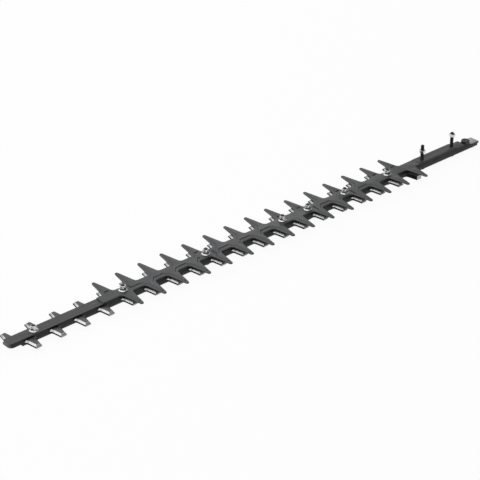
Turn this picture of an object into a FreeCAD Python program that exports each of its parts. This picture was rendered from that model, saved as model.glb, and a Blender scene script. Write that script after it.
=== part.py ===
import FreeCAD, Part
import math
import os
import re

import Sketcher
from FreeCAD import Placement, Rotation, Vector

# Cutter bar of a double-sided hedge trimmer, in millimetres.
# X runs along the bar from the cutting tip to the drive end, Y across it, Z up.
# The origin is under the middle of the bar, on the surface that the bolt heads lie on.
# Sizes along the bar are counted from the tip of the guide bar.
SIZES = {
    # Guide bar that the blades run under.
    "bar_length": 792,
    "bar_width": 15.5,
    "bar_thickness": 3.2,
    "bar_corner_radius": 3.5,
    # Both blades. Their tangs run on past the end of the guide bar.
    "blade_width": 15.4,
    "blade_thickness": 3,
    "running_gap": 0.1,
    "blade_corner_radius": 6,
    "upper_blade_start": 0.3,
    "upper_tang_length": 29,
    "lower_blade_start": 18,
    "lower_tang_length": 26.5,
    # Teeth, staggered by half a pitch on the two sides.
    "tooth_pitch": 36,
    "tooth_count": 19,
    "first_tooth": 11.5,
    "tooth_reach": 25.4,
    "tooth_tip_width": 8.5,
    "tooth_flank_angle": 10,
    "tooth_root_radius": 4.5,
    "land_thickness": 0.55,
    "bevel_angle": 45,
    # Travel of each blade from the rest position.
    "travel_to_tip": 1.5,
    "travel_to_drive": 16.5,
    "slot_end_play": 0.6,
    "slot_side_play": 0.15,
    # Finger guard pressed from sheet, which lies on the guide bar.
    "guard_thickness": 1.7,
    "guard_tail_thickness": 2,
    "first_finger": 156.5,
    "finger_count": 15,
    "finger_reach": 39.4,
    "finger_tip_radius": 2.5,
    "finger_half_angle": 10.5,
    "finger_root_radius": 4.5,
    # Raised ribs of the guard: one along the spine, and one on each finger that spreads towards the spine.
    "rib_height": 0.9,
    "rib_slope": 45,
    "spine_rib_width": 4.4,
    "rib_flare_width": 24,
    "rib_root_width": 7.6,
    "rib_root_reach": 10,
    "rib_tip_width": 2.8,
    "rib_tip_setback": 6,
    # Flat pads around the nuts, where the ribs are left out.
    "nut_pad_half_length": 11,
    "nut_pad_half_width": 11,
    # Bolts along the bar: the first one holds the tip, the others also hold the guard.
    "bolt_1": 40,
    "bolt_2": 174,
    "bolt_3": 308,
    "bolt_4": 441,
    "bolt_5": 487,
    "bolt_6": 556,
    "bolt_7": 639,
    # Long screws that carry the bar under the gearbox.
    "screw_end_distance": 21.5,
    "screw_spacing": 61.5,
    "screw_top": 37,
    "screw_nut_1": 25.8,
    "screw_nut_2": 31,
    "screw_nut_height": 4,
    # Shared fastener sizes.
    "bolt_diameter": 5,
    "bolt_hole_play": 0.3,
    "thread_play": 0.05,
    "head_flats": 8,
    "head_height": 2.5,
    "washer_diameter": 12,
    "washer_thickness": 1,
    "bush_diameter": 7,
    "bush_bore_play": 0.2,
    "nut_flats": 8,
    "nut_height": 7.2,
    "nut_flat_height": 5,
    "nut_collar_diameter": 7.4,
    "flange_diameter": 11.8,
    "flange_rim": 0.8,
    "flange_height": 2,
    "bolt_end": 1.2,
    "tip_bolt_recess": 1,
    # Drive pins riveted into the blade tangs, at distances from the end of the guide bar.
    "upper_pin_distance": 8.5,
    "upper_pin_diameter": 12.4,
    "upper_pin_height": 5,
    "lower_pin_distance": 20,
    "lower_pin_diameter": 10,
    "lower_pin_height": 2.7,
    "pin_shank_diameter": 6.5,
}

BOLT_COUNT = 7
BOLTS = [f"bolt_{number}" for number in range(1, BOLT_COUNT + 1)]

# Places along the bar that follow its end.
SCREW_2 = "(bar_length - screw_end_distance)"
SCREW_1 = f"({SCREW_2} - screw_spacing)"
SCREWS = [SCREW_1, SCREW_2]
UPPER_PIN = "(bar_length + upper_pin_distance)"
LOWER_PIN = "(bar_length + lower_pin_distance)"
UPPER_BLADE_END = "(bar_length + upper_tang_length)"
LOWER_BLADE_END = "(bar_length + lower_tang_length)"

# The same places as numbers, to draw the outlines at before they are bound.
DRAWN_MIDDLE = (SIZES["bar_length"] + SIZES["upper_tang_length"]) / 2
DRAWN_SCREW_2 = SIZES["bar_length"] - SIZES["screw_end_distance"]
DRAWN_SCREW_1 = DRAWN_SCREW_2 - SIZES["screw_spacing"]
DRAWN_HOLES = [SIZES[bolt] for bolt in BOLTS] + [DRAWN_SCREW_1, DRAWN_SCREW_2]

# Heights of the layers, from the bolt heads up.
WASHER_LEVEL = "head_height"
BUSH_LEVEL = "(head_height + washer_thickness)"
LOWER_LEVEL = f"({BUSH_LEVEL} + running_gap)"
UPPER_LEVEL = f"({LOWER_LEVEL} + blade_thickness + running_gap)"
BAR_LEVEL = f"({UPPER_LEVEL} + blade_thickness + running_gap)"
GUARD_LEVEL = f"({BAR_LEVEL} + bar_thickness)"
NUT_LEVEL = f"({GUARD_LEVEL} + guard_thickness)"
BUSH_LENGTH = "(2 * blade_thickness + 3 * running_gap)"
BEVEL_HEIGHT = "(blade_thickness - land_thickness)"
HOLE = "(bolt_diameter + 2 * bolt_hole_play)"

SQUARE_TURN = 90
HALF_TURN = 180
SAME_POINT = 1e-6
SAME_DIRECTION = 1e-6
UP = Vector(0, 0, 1)
FAR_SIDE, NEAR_SIDE = 1, -1
X_AXIS, Y_AXIS = -1, -2
START, END, CENTRE = 1, 2, 3

doc = FreeCAD.newDocument("CutterBar")
sheet = doc.addObject("Spreadsheet::Sheet", "Sizes")
for row, (alias, number) in enumerate(SIZES.items(), start=1):
    sheet.set(f"A{row}", alias)
    sheet.set(f"B{row}", str(number))
    sheet.setAlias(f"B{row}", alias)
doc.recompute()


def link(text):
    """Expression in which every size name points at its cell of the sheet."""
    return re.sub(r"[a-z][a-z0-9_]*", lambda found: linked_word(found.group()), str(text))


def linked_word(word):
    return f"Sizes.{word}" if word in SIZES else word


def along(place):
    """X of a place that is counted from the tip of the guide bar."""
    return f"({place} - {UPPER_BLADE_END} / 2)"


def new_body(label, level):
    body = doc.addObject("PartDesign::Body", label)
    body.Label = label
    body.setExpression("Placement.Base.z", link(level))
    return body


def origin_part(body, role):
    return next(part for part in body.Origin.OriginFeatures if part.Role == role)


def new_sketch(body, name, x="0", z="0", turned=False):
    """Sketch on the body's XY plane, moved along the bar and up, and turned to face the near side."""
    sketch = body.newObject("Sketcher::SketchObject", name)
    sketch.AttachmentSupport = [(origin_part(body, "XY_Plane"), "")]
    sketch.MapMode = "FlatFace"
    sketch.AttachmentOffset = Placement(Vector(), Rotation(UP, HALF_TURN if turned else 0))
    sketch.setExpression("AttachmentOffset.Base.x", link(x))
    sketch.setExpression("AttachmentOffset.Base.z", link(z))
    return sketch


def dimension(sketch, kind, *reference, size):
    """Driving constraint that starts at the drawn value and follows the given expression."""
    if kind in ("DistanceX", "DistanceY"):
        point = sketch.getPoint(*reference)
        value = point.x if kind == "DistanceX" else point.y
        reference = (X_AXIS, START, *reference)
    elif kind == "Radius":
        value = sketch.Geometry[reference[0]].Radius
    else:
        line = sketch.Geometry[reference[0]]
        value = math.atan2(line.EndPoint.y - line.StartPoint.y, line.EndPoint.x - line.StartPoint.x)
    index = sketch.addConstraint(Sketcher.Constraint(kind, *reference, value))
    sketch.setExpression(f"Constraints[{index}]", link(size))


def place_point(sketch, geometry, end, x, y):
    dimension(sketch, "DistanceX", geometry, end, size=x)
    dimension(sketch, "DistanceY", geometry, end, size=y)


def polygon(sketch, corners):
    """Closed run of straight lines whose corners are pairs of expressions."""
    count = len(corners)
    turn = 2 * math.pi / count
    spots = [Vector(math.cos(turn * i), math.sin(turn * i), 0) for i in range(count)]
    lines = [sketch.addGeometry(Part.LineSegment(spots[i], spots[(i + 1) % count])) for i in range(count)]
    for i, (x, y) in enumerate(corners):
        sketch.addConstraint(Sketcher.Constraint("Coincident", lines[i - 1], END, lines[i], START))
        place_point(sketch, lines[i], START, x, y)


def rectangle(sketch, left, right, bottom, top):
    polygon(sketch, [(left, bottom), (right, bottom), (right, top), (left, top)])


def circle(sketch, x, diameter):
    """Round hole on the middle line of the bar."""
    index = sketch.addGeometry(Part.Circle(Vector(), UP, 1))
    place_point(sketch, index, CENTRE, x, "0")
    dimension(sketch, "Radius", index, size=f"{diameter} / 2")


def arc(centre, radius, first, last):
    return Part.ArcOfCircle(Part.Circle(centre, UP, radius), first, last)


def joined_ends(first, second):
    """Ends at which two drawn edges meet, and whether they run on smoothly there."""
    for end in (START, END):
        for other in (START, END):
            point, other_point = end_point(first, end), end_point(second, other)
            if point.distanceToPoint(other_point) < SAME_POINT:
                across = direction(first, end).cross(direction(second, other))
                return end, other, across.Length < SAME_DIRECTION
    raise ValueError("the edges of an outline do not meet")


def end_point(edge, end):
    return edge.StartPoint if end == START else edge.EndPoint


def direction(edge, end):
    return edge.tangent(edge.FirstParameter if end == START else edge.LastParameter)[0]


def chain(sketch, edges):
    """Closed outline of lines and arcs, tangent wherever they are drawn tangent."""
    first = sketch.GeometryCount
    for edge in edges:
        sketch.addGeometry(edge)
    count = len(edges)
    for i in range(count):
        j = (i + 1) % count
        end, other, smooth = joined_ends(edges[i], edges[j])
        kind = "Tangent" if smooth else "Coincident"
        sketch.addConstraint(Sketcher.Constraint(kind, first + i, end, first + j, other))
    return [first + i for i in range(count)]


def slot(sketch, left, right, radius, drawn):
    """Slot along the bar between two end centres, drawn at the given left, right and radius."""
    x1, x2, r = drawn
    quarter = math.pi / 2
    edges = [
        Part.LineSegment(Vector(x1, -r, 0), Vector(x2, -r, 0)),
        arc(Vector(x2, 0, 0), r, -quarter, quarter),
        Part.LineSegment(Vector(x2, r, 0), Vector(x1, r, 0)),
        arc(Vector(x1, 0, 0), r, quarter, 3 * quarter),
    ]
    lower, right_end, upper, left_end = chain(sketch, edges)
    place_point(sketch, left_end, CENTRE, left, "0")
    place_point(sketch, right_end, CENTRE, right, "0")
    dimension(sketch, "Radius", left_end, size=radius)
    sketch.addConstraint(Sketcher.Constraint("Equal", left_end, right_end))


def pad(body, sketch, name, length, downward=False, taper=None):
    feature = body.newObject("PartDesign::Pad", name)
    feature.Profile = sketch
    feature.Reversed = downward
    feature.setExpression("Length", link(length))
    if taper:
        feature.setExpression("TaperAngle", link(taper))
    doc.recompute()
    return feature


def round_tip(body, strip, name, radius, sides):
    """Rounds the upright corners at the tip of a strip, on the sides of the bar that are asked for."""
    tip = min(vertex.X for vertex in strip.Shape.Vertexes)
    corners = []
    for number, edge in enumerate(strip.Shape.Edges, start=1):
        first, last = edge.Vertexes
        upright = abs(first.Z - last.Z) > SAME_POINT
        if upright and abs(first.X - tip) < SAME_POINT and math.copysign(1, first.Y) in sides:
            corners.append(f"Edge{number}")
    feature = body.newObject("PartDesign::Fillet", name)
    feature.Base = (strip, corners)
    feature.setExpression("Radius", link(radius))
    doc.recompute()


def cut_through(body, sketch, name):
    """Pocket from the sketch upwards, right through the body."""
    before = body.Shape.Volume
    feature = body.newObject("PartDesign::Pocket", name)
    feature.Profile = sketch
    feature.Type = "ThroughAll"
    feature.Reversed = True
    doc.recompute()
    if body.Shape.Volume > before - SAME_POINT:
        raise RuntimeError(f"{name} cuts nothing")


def repeat(body, features, name, count):
    """Row of copies along the bar, one tooth pitch apart."""
    pattern = body.newObject("PartDesign::LinearPattern", name)
    pattern.Originals = features
    pattern.Direction = (origin_part(body, "X_Axis"), [""])
    pattern.setExpression("Length", link(f"tooth_pitch * ({count} - 1)"))
    pattern.setExpression("Occurrences", link(count))
    body.Tip = pattern
    doc.recompute()


def mirrored(point):
    """The same point on the other side of a sketch's Y axis."""
    return Vector(-point.x, point.y, 0)


def bind_roots(sketch, right_arc, left_arc, right_side, left_side, radius, edge):
    """Equal rounded roots at the edge of a strip, with straight sides down to its middle line."""
    dimension(sketch, "Radius", right_arc, size=radius)
    dimension(sketch, "DistanceY", right_arc, END, size=edge)
    dimension(sketch, "DistanceY", right_side, START, size="0")
    dimension(sketch, "DistanceY", left_side, END, size="0")
    for rule in (
        ("Equal", right_arc, left_arc),
        ("Vertical", right_arc, CENTRE, right_arc, END),
        ("Vertical", left_arc, CENTRE, left_arc, START),
        ("Symmetric", right_arc, END, left_arc, START, Y_AXIS),
        ("Vertical", right_side),
        ("Vertical", left_side),
    ):
        sketch.addConstraint(Sketcher.Constraint(*rule))


def tooth_outline(sketch):
    """Trapezoid tooth about the sketch's Y axis, with rounded roots that run into the blade's edge."""
    flank = math.radians(SIZES["tooth_flank_angle"])
    cosine, sine = math.cos(flank), math.sin(flank)
    radius = SIZES["tooth_root_radius"]
    reach, half_tip = SIZES["tooth_reach"], SIZES["tooth_tip_width"] / 2
    edge = SIZES["blade_width"] / 2
    root = (radius + half_tip * cosine + (reach - edge - radius) * sine) / cosine
    meet = Vector(root - radius * cosine, edge + radius - radius * sine, 0)
    tip, foot, base = Vector(half_tip, reach, 0), Vector(root, edge, 0), Vector(root, 0, 0)
    centre = Vector(root, edge + radius, 0)
    edges = [
        arc(centre, radius, math.pi + flank, 1.5 * math.pi),
        Part.LineSegment(meet, tip),
        Part.LineSegment(tip, mirrored(tip)),
        Part.LineSegment(mirrored(tip), mirrored(meet)),
        arc(mirrored(centre), radius, 1.5 * math.pi, 2 * math.pi - flank),
        Part.LineSegment(mirrored(foot), mirrored(base)),
        Part.LineSegment(mirrored(base), base),
        Part.LineSegment(base, foot),
    ]
    right_arc, right_flank, _, left_flank, left_arc, left_side, _, right_side = chain(sketch, edges)
    place_point(sketch, right_flank, END, "tooth_tip_width / 2", "tooth_reach")
    place_point(sketch, left_flank, START, "-tooth_tip_width / 2", "tooth_reach")
    dimension(sketch, "Angle", right_flank, size=f"{SQUARE_TURN} + tooth_flank_angle")
    bind_roots(sketch, right_arc, left_arc, right_side, left_side, "tooth_root_radius", "blade_width / 2")


def make_blade(label, level, start, end, far_teeth, bevel_down, pin):
    """Flat blade with guide slots and ground teeth on both sides; the last near tooth is left unground."""
    free_side = FAR_SIDE if bevel_down else NEAR_SIDE
    body = new_body(label, level)
    spine = new_sketch(body, f"{label}_spine")
    half_width = "blade_width / 2"
    rectangle(spine, along(start), along(end), f"-{half_width}", half_width)
    strip = pad(body, spine, f"{label}_strip", "blade_thickness")
    round_tip(body, strip, f"{label}_tip", "blade_corner_radius", [free_side])
    land_level = "blade_thickness - land_thickness" if bevel_down else "land_thickness"
    far_start = f"first_tooth + tooth_pitch * (tooth_count - {far_teeth})"
    near_start = "first_tooth + tooth_pitch / 2"
    near_teeth = "(tooth_count - 1)"
    rows = (("far", far_start, far_teeth, False), ("near", near_start, near_teeth, True))
    for side, place, count, turned in rows:
        tooth = new_sketch(body, f"{label}_{side}_tooth", along(place), land_level, turned)
        tooth_outline(tooth)
        land = pad(body, tooth, f"{label}_{side}_land", "land_thickness", downward=not bevel_down)
        bevel = pad(body, tooth, f"{label}_{side}_bevel", BEVEL_HEIGHT, bevel_down, "-bevel_angle")
        repeat(body, [land, bevel], f"{label}_{side}_teeth", count)
    last_place = along(f"{near_start} + tooth_pitch * {near_teeth}")
    last = new_sketch(body, f"{label}_last_tooth_outline", last_place, "0", True)
    tooth_outline(last)
    pad(body, last, f"{label}_last_tooth", "blade_thickness")
    slots = new_sketch(body, f"{label}_slot_lines")
    radius = SIZES["bush_diameter"] / 2 + SIZES["slot_side_play"]
    for place, drawn_place in zip(BOLTS + SCREWS, DRAWN_HOLES):
        middle = drawn_place - DRAWN_MIDDLE
        drawn = (middle - SIZES["travel_to_drive"], middle + SIZES["travel_to_tip"], radius)
        left = f"{along(place)} - travel_to_drive - slot_end_play"
        right = f"{along(place)} + travel_to_tip + slot_end_play"
        slot(slots, left, right, "bush_diameter / 2 + slot_side_play", drawn)
    circle(slots, along(pin), "pin_shank_diameter")
    cut_through(body, slots, f"{label}_slots")
    return body


def make_upper_blade():
    ends = ("upper_blade_start", UPPER_BLADE_END)
    return make_blade("upper_blade", UPPER_LEVEL, *ends, "tooth_count", False, UPPER_PIN)


def make_lower_blade():
    """The lower blade starts behind the first far tooth, so it has one tooth fewer on that side."""
    ends = ("lower_blade_start", LOWER_BLADE_END)
    return make_blade("lower_blade", LOWER_LEVEL, *ends, "(tooth_count - 1)", True, LOWER_PIN)


def make_guide_bar():
    """Plain flat bar with rounded tip corners and a hole for every bolt and screw."""
    body = new_body("guide_bar", BAR_LEVEL)
    outline = new_sketch(body, "guide_bar_outline")
    half_width = "bar_width / 2"
    rectangle(outline, along("0"), along("bar_length"), f"-{half_width}", half_width)
    strip = pad(body, outline, "guide_bar_strip", "bar_thickness")
    round_tip(body, strip, "guide_bar_tip", "bar_corner_radius", [FAR_SIDE, NEAR_SIDE])
    holes = new_sketch(body, "guide_bar_hole_lines")
    for place in BOLTS + SCREWS:
        circle(holes, along(place), HOLE)
    cut_through(body, holes, "guide_bar_holes")
    return body


def finger_outline(sketch):
    """Pointed finger about the sketch's Y axis: rounded tip, straight flanks and rounded roots."""
    slant = math.radians(SIZES["finger_half_angle"])
    cosine, sine = math.cos(slant), math.sin(slant)
    radius, tip_radius = SIZES["finger_root_radius"], SIZES["finger_tip_radius"]
    edge, tip_y = SIZES["bar_width"] / 2, SIZES["finger_reach"] - tip_radius
    root = (tip_radius + radius + (tip_y - edge - radius) * sine) / cosine
    normal = Vector(cosine, sine, 0)
    centre, tip_centre = Vector(root, edge + radius, 0), Vector(0, tip_y, 0)
    meet, shoulder = centre - normal * radius, tip_centre + normal * tip_radius
    foot, base = Vector(root, edge, 0), Vector(root, 0, 0)
    edges = [
        arc(centre, radius, math.pi + slant, 1.5 * math.pi),
        Part.LineSegment(meet, shoulder),
        arc(tip_centre, tip_radius, slant, math.pi - slant),
        Part.LineSegment(mirrored(shoulder), mirrored(meet)),
        arc(mirrored(centre), radius, 1.5 * math.pi, 2 * math.pi - slant),
        Part.LineSegment(mirrored(foot), mirrored(base)),
        Part.LineSegment(mirrored(base), base),
        Part.LineSegment(base, foot),
    ]
    right_arc, right_flank, tip, _, left_arc, left_side, _, right_side = chain(sketch, edges)
    place_point(sketch, tip, CENTRE, "0", "finger_reach - finger_tip_radius")
    dimension(sketch, "Radius", tip, size="finger_tip_radius")
    dimension(sketch, "Angle", right_flank, size=f"{SQUARE_TURN} + finger_half_angle")
    bind_roots(sketch, right_arc, left_arc, right_side, left_side, "finger_root_radius", "bar_width / 2")


def rib_outline(sketch):
    """Straight-sided rib along a finger, wide at the spine and narrow at the tip."""
    right = [
        ("rib_flare_width / 2", "0"),
        ("rib_root_width / 2", "rib_root_reach"),
        ("rib_tip_width / 2", "finger_reach - rib_tip_setback"),
    ]
    polygon(sketch, right + [(f"-{x}", y) for x, y in reversed(right)])


def tail_outline(sketch):
    """Flat tail with a round end about the last screw, stepped where the last near finger reaches further."""
    half_width = "bar_width / 2"
    half = SIZES["bar_width"] / 2
    drawn_end = DRAWN_SCREW_2 - DRAWN_MIDDLE
    drawn_near = SIZES["first_finger"] + SIZES["tooth_pitch"] * SIZES["finger_count"] - DRAWN_MIDDLE
    drawn_far = drawn_near - SIZES["tooth_pitch"] / 2
    spots = [(drawn_end, half), (drawn_far, half), (drawn_far, 0), (drawn_near, 0)]
    spots += [(drawn_near, -half), (drawn_end, -half)]
    spots = [Vector(x, y, 0) for x, y in spots]
    edges = [Part.LineSegment(first, second) for first, second in zip(spots, spots[1:])]
    edges.append(arc(Vector(drawn_end, 0, 0), half, -math.pi / 2, math.pi / 2))
    lines = chain(sketch, edges)
    far_end = along("first_finger + tooth_pitch * (finger_count - 1 / 2)")
    near_end = along("first_finger + tooth_pitch * finger_count")
    corners = [(far_end, half_width), (far_end, "0"), (near_end, "0"), (near_end, f"-{half_width}")]
    for line, (x, y) in zip(lines, corners):
        place_point(sketch, line, END, x, y)
    place_point(sketch, lines[-1], CENTRE, along(SCREW_2), "0")
    dimension(sketch, "Radius", lines[-1], size=half_width)


def make_finger_guard():
    """Pressed guard: a sheet with pointed fingers, raised ribs, flat pads at the nuts and a flat tail."""
    body = new_body("finger_guard", GUARD_LEVEL)
    half_width = "bar_width / 2"
    start = along("first_finger - tooth_pitch / 2")
    end = along("first_finger + tooth_pitch * finger_count")
    spine = new_sketch(body, "guard_spine_outline")
    rectangle(spine, start, end, f"-{half_width}", half_width)
    pad(body, spine, "guard_spine", "guard_thickness")
    tail = new_sketch(body, "guard_tail_outline")
    tail_outline(tail)
    pad(body, tail, "guard_tail", "guard_tail_thickness")

    rows = (("far", "first_finger", False), ("near", "first_finger + tooth_pitch / 2", True))
    for side, place, turned in rows:
        sheet_sketch = new_sketch(body, f"guard_{side}_finger_outline", along(place), "0", turned)
        finger_outline(sheet_sketch)
        finger = pad(body, sheet_sketch, f"guard_{side}_finger", "guard_thickness")
        rib_sketch = new_sketch(body, f"guard_{side}_rib_outline", along(place), "guard_thickness", turned)
        rib_outline(rib_sketch)
        rib = pad(body, rib_sketch, f"guard_{side}_rib", "rib_height", taper="-rib_slope")
        repeat(body, [finger, rib], f"guard_{side}_fingers", "finger_count")
    spine_rib = new_sketch(body, "guard_spine_rib_outline", "0", "guard_thickness")
    rectangle(spine_rib, start, along(BOLTS[-1]), "-spine_rib_width / 2", "spine_rib_width / 2")
    pad(body, spine_rib, "guard_spine_rib", "rib_height", taper="-rib_slope")

    # Each pad runs from one rib-free nut to the next, or to the end of the ribs.
    pads = new_sketch(body, "guard_nut_pad_outline", "0", "guard_thickness")
    spans = [
        (start, f"{along('bolt_2')} + nut_pad_half_length"),
        (f"{along('bolt_3')} - nut_pad_half_length", f"{along('bolt_3')} + nut_pad_half_length"),
        (f"{along('bolt_4')} - nut_pad_half_length", f"{along('bolt_5')} + nut_pad_half_length"),
        (f"{along('bolt_6')} - nut_pad_half_length", f"{along('bolt_6')} + nut_pad_half_length"),
        (f"{along('bolt_7')} - tooth_pitch / 2 - nut_pad_half_length", end),
    ]
    for left, right in spans:
        rectangle(pads, left, right, "-nut_pad_half_width", "nut_pad_half_width")
    cut_through(body, pads, "guard_nut_pads")
    holes = new_sketch(body, "guard_hole_lines")
    for place in BOLTS[1:] + SCREWS:
        circle(holes, along(place), HOLE)
    cut_through(body, holes, "guard_holes")
    return body


def solid(kind, name, place, level, **sizes):
    """Round or six-sided primitive on the middle line of the bar."""
    item = doc.addObject(f"Part::{kind}", name)
    item.setExpression("Placement.Base.x", link(along(place)))
    item.setExpression("Placement.Base.z", link(level))
    for measure, size in sizes.items():
        item.setExpression(measure, link(size))
    return item


def cylinder(name, place, level, diameter, height):
    return solid("Cylinder", name, place, level, Radius=f"{diameter} / 2", Height=height)


def hexagon(name, place, level, flats, height):
    item = solid("Prism", name, place, level, Circumradius=f"{flats} / sqrt(3)", Height=height)
    item.Polygon = 6
    return item


def cone(name, place, level, lower, upper, height):
    return solid("Cone", name, place, level, Radius1=f"{lower} / 2", Radius2=f"{upper} / 2", Height=height)


def fuse(name, *shapes):
    item = doc.addObject("Part::MultiFuse", name)
    item.Shapes = shapes
    return item


def cut(name, base, tool):
    item = doc.addObject("Part::Cut", name)
    item.Base = base
    item.Tool = tool
    return item


def group(label, items):
    """Identical pieces that share one node."""
    item = doc.addObject("Part::Compound", label)
    item.Label = label
    item.Links = items
    return item


def make_bolt(name, place, top):
    """Hexagon bolt standing on its head, up to the given height."""
    head = hexagon(f"{name}_head", place, "0", "head_flats", "head_height")
    shank = cylinder(f"{name}_shank", place, "0", "bolt_diameter", top)
    return fuse(name, head, shank)


def make_flange_nut(name, place, level):
    """Hexagon nut on a sloping round flange, with a round collar on top."""
    rim = cylinder(f"{name}_rim", place, level, "flange_diameter", "flange_rim")
    slope_level = f"{level} + flange_rim"
    slope_height = "flange_height - flange_rim"
    slope = cone(f"{name}_slope", place, slope_level, "flange_diameter", "nut_flats", slope_height)
    flats = hexagon(f"{name}_flats", place, level, "nut_flats", "nut_flat_height")
    collar = cylinder(f"{name}_collar", place, level, "nut_collar_diameter", "nut_height")
    bore = cylinder(f"{name}_bore", place, level, "(bolt_diameter + 2 * thread_play)", "nut_height")
    return cut(name, fuse(f"{name}_body", rim, slope, flats, collar), bore)


def make_ring(name, place, level, outer, inner, height):
    outside = cylinder(f"{name}_outside", place, level, outer, height)
    return cut(name, outside, cylinder(f"{name}_inside", place, level, inner, height))


def make_hex_nut(name, place, level):
    flats = hexagon(f"{name}_flats", place, level, "nut_flats", "screw_nut_height")
    bore = cylinder(f"{name}_bore", place, level, "(bolt_diameter + 2 * thread_play)", "screw_nut_height")
    return cut(name, flats, bore)


def make_upper_pin():
    """Drive pin with a tall round head on the upper blade and a shank riveted through it."""
    top = f"{UPPER_LEVEL} + blade_thickness"
    shank = cylinder("upper_pin_shank", UPPER_PIN, UPPER_LEVEL, "pin_shank_diameter", "blade_thickness")
    head = cylinder("upper_pin_head", UPPER_PIN, top, "upper_pin_diameter", "upper_pin_height")
    return fuse("upper_drive_pin", shank, head)


def make_lower_pin():
    """Drive pin with a low round head under the lower blade and a shank riveted through it."""
    bottom = f"({LOWER_LEVEL} - lower_pin_height)"
    shank = cylinder("lower_pin_shank", LOWER_PIN, LOWER_LEVEL, "pin_shank_diameter", "blade_thickness")
    head = cylinder("lower_pin_head", LOWER_PIN, bottom, "lower_pin_diameter", "lower_pin_height")
    return fuse("lower_drive_pin", shank, head)


def make_fasteners():
    """Bolts, screws, nuts, washers and the bushes that the slotted blades slide on."""
    tip_bolt_top = f"{GUARD_LEVEL} + nut_height - tip_bolt_recess"
    bolt_top = f"{NUT_LEVEL} + nut_height + bolt_end"
    parts = [make_bolt("tip_bolt", BOLTS[0], tip_bolt_top)]
    bolts = [make_bolt(f"long_{place}", place, bolt_top) for place in BOLTS[1:]]
    parts.append(group("guide_bolts", bolts))
    seats = [GUARD_LEVEL] + [NUT_LEVEL] * (BOLT_COUNT - 1)
    nuts = [make_flange_nut(f"nut_on_{place}", place, level) for place, level in zip(BOLTS, seats)]
    parts.append(group("flange_nuts", nuts))
    screws = [make_bolt(f"screw_{number}", place, "screw_top") for number, place in enumerate(SCREWS, start=1)]
    parts.append(group("mounting_screws", screws))
    nuts = [
        make_hex_nut(f"nut_on_screw_{number}", place, f"screw_nut_{number}")
        for number, place in enumerate(SCREWS, start=1)
    ]
    parts.append(group("mounting_nuts", nuts))
    washers = [
        make_ring(f"washer_{number}", place, WASHER_LEVEL, "washer_diameter", HOLE, "washer_thickness")
        for number, place in enumerate(BOLTS + SCREWS, start=1)
    ]
    parts.append(group("bolt_washers", washers))
    bore = "(bolt_diameter + 2 * bush_bore_play)"
    for names, kind in ((BOLTS, "guide_bush"), (SCREWS, "mounting_bush")):
        for number, place in enumerate(names, start=1):
            parts.append(make_ring(f"{kind}_{number}", place, BUSH_LEVEL, "bush_diameter", bore, BUSH_LENGTH))
    return parts


sub_parts = [
    make_guide_bar(),
    make_finger_guard(),
    make_upper_blade(),
    make_lower_blade(),
    make_upper_pin(),
    make_lower_pin(),
    *make_fasteners(),
]
doc.recompute()

# Every object has to be whole before anything is written.
for item in doc.Objects:
    if "Invalid" in item.State or "Error" in item.State:
        raise RuntimeError(f"{item.Name} failed: {item.State}")
for item in sub_parts:
    if item.Shape.isNull() or not item.Shape.isValid():
        raise RuntimeError(f"{item.Label} has no valid shape")

os.makedirs("parts", exist_ok=True)
for item in sub_parts:
    item.Shape.exportStep(f"parts/{item.Label}.step")
    box = item.Shape.BoundBox
    print(item.Label, len(item.Shape.Solids), "solids", round(item.Shape.Volume, 1), "mm3", box)
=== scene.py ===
import math

import bmesh
import bpy
from mathutils import Matrix, Vector


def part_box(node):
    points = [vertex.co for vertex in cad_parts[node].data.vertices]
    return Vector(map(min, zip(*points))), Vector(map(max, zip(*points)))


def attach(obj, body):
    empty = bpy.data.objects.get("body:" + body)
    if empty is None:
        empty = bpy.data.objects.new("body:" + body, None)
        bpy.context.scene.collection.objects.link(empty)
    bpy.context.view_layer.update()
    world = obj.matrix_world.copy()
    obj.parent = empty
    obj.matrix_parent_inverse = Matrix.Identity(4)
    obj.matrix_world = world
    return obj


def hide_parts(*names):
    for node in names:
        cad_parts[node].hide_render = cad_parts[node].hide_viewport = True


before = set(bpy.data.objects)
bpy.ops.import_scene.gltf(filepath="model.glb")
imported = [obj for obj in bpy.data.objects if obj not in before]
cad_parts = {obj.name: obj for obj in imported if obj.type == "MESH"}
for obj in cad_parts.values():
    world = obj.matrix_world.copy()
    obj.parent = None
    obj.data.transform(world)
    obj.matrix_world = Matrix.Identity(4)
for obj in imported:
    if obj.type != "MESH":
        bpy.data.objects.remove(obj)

bl_info = {
    "name": "Hedge Trimmer Cutter Bar",
    "version": (1, 0, 0),
    "blender": (4, 5, 0),
    "location": "View3D > Sidebar > Cutter Bar",
    "description": "Gives a double-sided hedge trimmer cutter bar its finished edges, threads and steels",
    "category": "Object",
}

MM = 0.001
UP = Vector((0, 0, 1))
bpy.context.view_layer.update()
# Points nearer than this are one point, and faces turned by less than this are one flat.
SAME_PLACE = 2e-6
FLAT = math.radians(0.4)
ROUND_STEPS = 48
THREAD_PLAY = 0.05 * MM
# Shine of blackened steel on a rolled face, and the lower shine that goes with the painted shade of upright
# sides and of a tooth's land.
SATIN, UPRIGHT_SHADE_SHINE, LAND_SHADE_SHINE = 0.5, 0.2, 0.05
# Upright share of a face's normal, up to which it is a side and from which it is a flat.
SIDE_RISE, FLAT_RISE = 0.3, 0.97
# Lengthwise share of the normal, from which a face looks at the tip or is a tooth's flank.
TIP_FACING, FLANK_FACING = 0.5, 0.6
TIP_END = 4 * MM
# Places of the edge steels on the bar and the guard, after the steel of the face; the upright sides carry
# painted shade, and the rolled edges of the guard a painted highlight.
SHADED_UPRIGHTS, ROLLED = 1, 2
# Sockets of a mix of two colours.
SHARE, DARK, PALE, MIXED = 0, 6, 7, 2

# The bushes that the bolts and the screws stand in, from the tip to the drive end.
BOLTS = [f"guide_bush_{number}" for number in range(1, 8)]
SCREWS = [f"mounting_bush_{number}" for number in range(1, 3)]


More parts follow.
